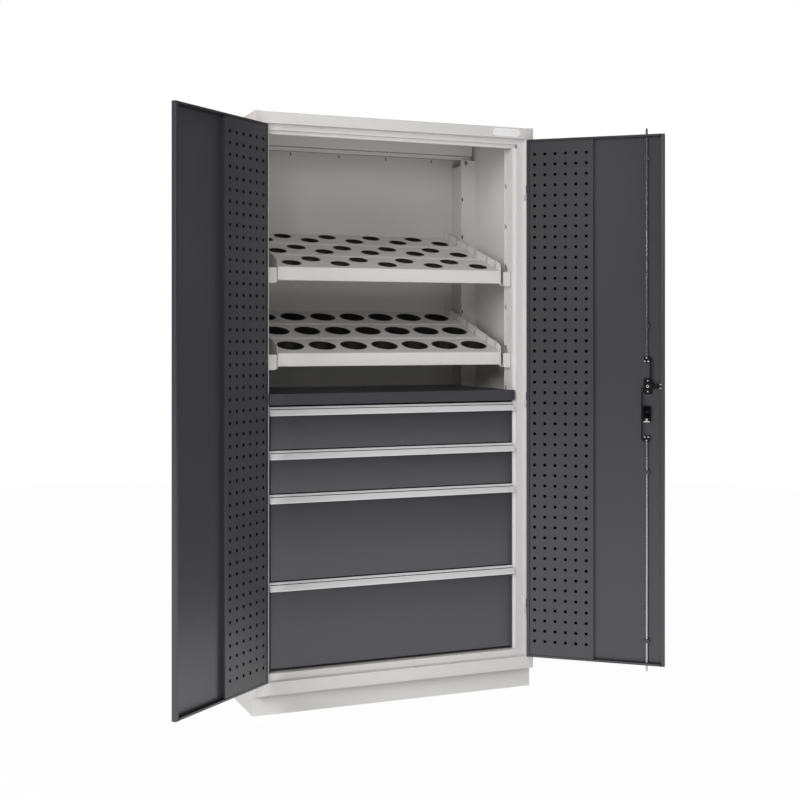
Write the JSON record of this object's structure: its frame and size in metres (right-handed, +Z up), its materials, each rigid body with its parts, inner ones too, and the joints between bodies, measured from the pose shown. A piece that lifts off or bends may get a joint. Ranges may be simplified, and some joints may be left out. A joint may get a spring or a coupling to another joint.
{
  "type": "tool cabinet",
  "caption": "Tall steel tool cabinet with two perforated doors, tilted tool-holder tiers with round sockets and a block of full-width drawers.",
  "frame": {"origin": "on the floor under the middle of the body's footprint", "axes": "+X to the right seen from the front, +Y to the back, +Z up; the doors are at -Y"},
  "size_m": [1.7792, 0.9428, 2.07],
  "materials": {
    "light_sheet": "satin powder coat",
    "dark_sheet": "fine textured powder coat",
    "zinc": "bright zinc plating",
    "handle_alu": "satin anodised",
    "black_plastic": "moulded, matt",
    "lock_black": "black coat",
    "plate_white": "smooth"
  },
  "bodies": {
    "cabinet": {"side_left": "light_sheet", "side_right": "light_sheet", "back_panel": "light_sheet", "roof": "light_sheet", "header": "light_sheet", "posts_front": "light_sheet", "posts_rear": "light_sheet", "rear_beam": "light_sheet", "base_frame": "light_sheet", "plinth": "light_sheet", "name_plate": "plate_white", "hinge_halves": "zinc", "frame_bolts": "zinc", "upper_arms": "light_sheet", "lower_arms": "light_sheet", "rail_clips": "zinc", "upper_rail_front": "light_sheet", "upper_rail_middle": "light_sheet", "upper_rail_rear": "light_sheet", "lower_rail_front": "light_sheet", "lower_rail_middle": "light_sheet", "lower_rail_rear": "light_sheet", "upper_sleeves": "black_plastic", "lower_sleeves": "black_plastic", "block_cover": "dark_sheet", "block_side_left": "dark_sheet", "block_side_right": "dark_sheet", "block_back": "dark_sheet", "block_runners": "zinc"},
    "left_door": {"door_left": "dark_sheet", "panel_left": "dark_sheet"},
    "right_door": {"door_right": "dark_sheet", "panel_right": "dark_sheet", "lock_case": "lock_black", "lock_fixings": "zinc"},
    "lock_turn": {"lock_handle": "lock_black", "lock_cam": "zinc"},
    "key_plug": {"lock_plug": "zinc"},
    "rod_up": {"rod_upper": "zinc"},
    "rod_down": {"rod_lower": "zinc"},
    "drawer_1": {"drawer_1_box": "dark_sheet", "drawer_1_front": "dark_sheet", "drawer_1_handle": "handle_alu", "drawer_1_slides": "zinc"},
    "carriers_1": {"drawer_1_carriers": "zinc"},
    "drawer_2": {"drawer_2_box": "dark_sheet", "drawer_2_front": "dark_sheet", "drawer_2_handle": "handle_alu", "drawer_2_slides": "zinc"},
    "carriers_2": {"drawer_2_carriers": "zinc"},
    "drawer_3": {"drawer_3_box": "dark_sheet", "drawer_3_front": "dark_sheet", "drawer_3_handle": "handle_alu", "drawer_3_slides": "zinc"},
    "carriers_3": {"drawer_3_carriers": "zinc"},
    "drawer_4": {"drawer_4_box": "dark_sheet", "drawer_4_front": "dark_sheet", "drawer_4_handle": "handle_alu", "drawer_4_slides": "zinc"},
    "carriers_4": {"drawer_4_carriers": "zinc"}
  },
  "joints": [
    {"name": "left_door_swing", "type": "hinge", "parent": "cabinet", "child": "left_door", "pos_m": [-0.505, -0.3046, 1.066], "axis": [0, 0, -1], "range_deg": [-140.5, 39.5]},
    {"name": "right_door_swing", "type": "hinge", "parent": "cabinet", "child": "right_door", "pos_m": [0.505, -0.3046, 1.066], "axis": [0, 0, 1], "range_deg": [-140.5, 39.5]},
    {"name": "lever_turn", "type": "hinge", "parent": "right_door", "child": "lock_turn", "pos_m": [0.84359, -0.58968, 1.1225], "axis": [-0.6361, -0.7716, 0], "range_deg": [-90, 0]},
    {"name": "key_turn", "type": "hinge", "parent": "right_door", "child": "key_plug", "pos_m": [0.84128, -0.58777, 1.031], "axis": [-0.6361, -0.7716, 0], "range_deg": [-90, 0]},
    {"name": "upper_rod_throw", "type": "slide", "parent": "right_door", "child": "rod_up", "axis": [0, 0, 1], "range_m": [-0.02405, 0]},
    {"name": "lower_rod_throw", "type": "slide", "parent": "right_door", "child": "rod_down", "axis": [0, 0, -1], "range_m": [-0.02405, 0]},
    {"name": "drawer_1_slide", "type": "slide", "parent": "cabinet", "child": "drawer_1", "axis": [0, -1, 0], "range_m": [0, 0.45]},
    {"name": "carriers_1_slide", "type": "slide", "parent": "cabinet", "child": "carriers_1", "axis": [0, -1, 0], "range_m": [0, 0.2252]},
    {"name": "drawer_2_slide", "type": "slide", "parent": "cabinet", "child": "drawer_2", "axis": [0, -1, 0], "range_m": [0, 0.45]},
    {"name": "carriers_2_slide", "type": "slide", "parent": "cabinet", "child": "carriers_2", "axis": [0, -1, 0], "range_m": [0, 0.2252]},
    {"name": "drawer_3_slide", "type": "slide", "parent": "cabinet", "child": "drawer_3", "axis": [0, -1, 0], "range_m": [0, 0.45]},
    {"name": "carriers_3_slide", "type": "slide", "parent": "cabinet", "child": "carriers_3", "axis": [0, -1, 0], "range_m": [0, 0.2252]},
    {"name": "drawer_4_slide", "type": "slide", "parent": "cabinet", "child": "drawer_4", "axis": [0, -1, 0], "range_m": [0, 0.45]},
    {"name": "carriers_4_slide", "type": "slide", "parent": "cabinet", "child": "carriers_4", "axis": [0, -1, 0], "range_m": [0, 0.2252]}
  ],
  "couplings": [
    {"joint": "upper_rod_throw", "follows": "lever_turn", "m_per_rad": 0.015304},
    {"joint": "lower_rod_throw", "follows": "lever_turn", "m_per_rad": 0.015304},
    {"joint": "carriers_1_slide", "follows": "drawer_1_slide", "ratio": 0.5},
    {"joint": "carriers_2_slide", "follows": "drawer_2_slide", "ratio": 0.5},
    {"joint": "carriers_3_slide", "follows": "drawer_3_slide", "ratio": 0.5},
    {"joint": "carriers_4_slide", "follows": "drawer_4_slide", "ratio": 0.5}
  ]
}
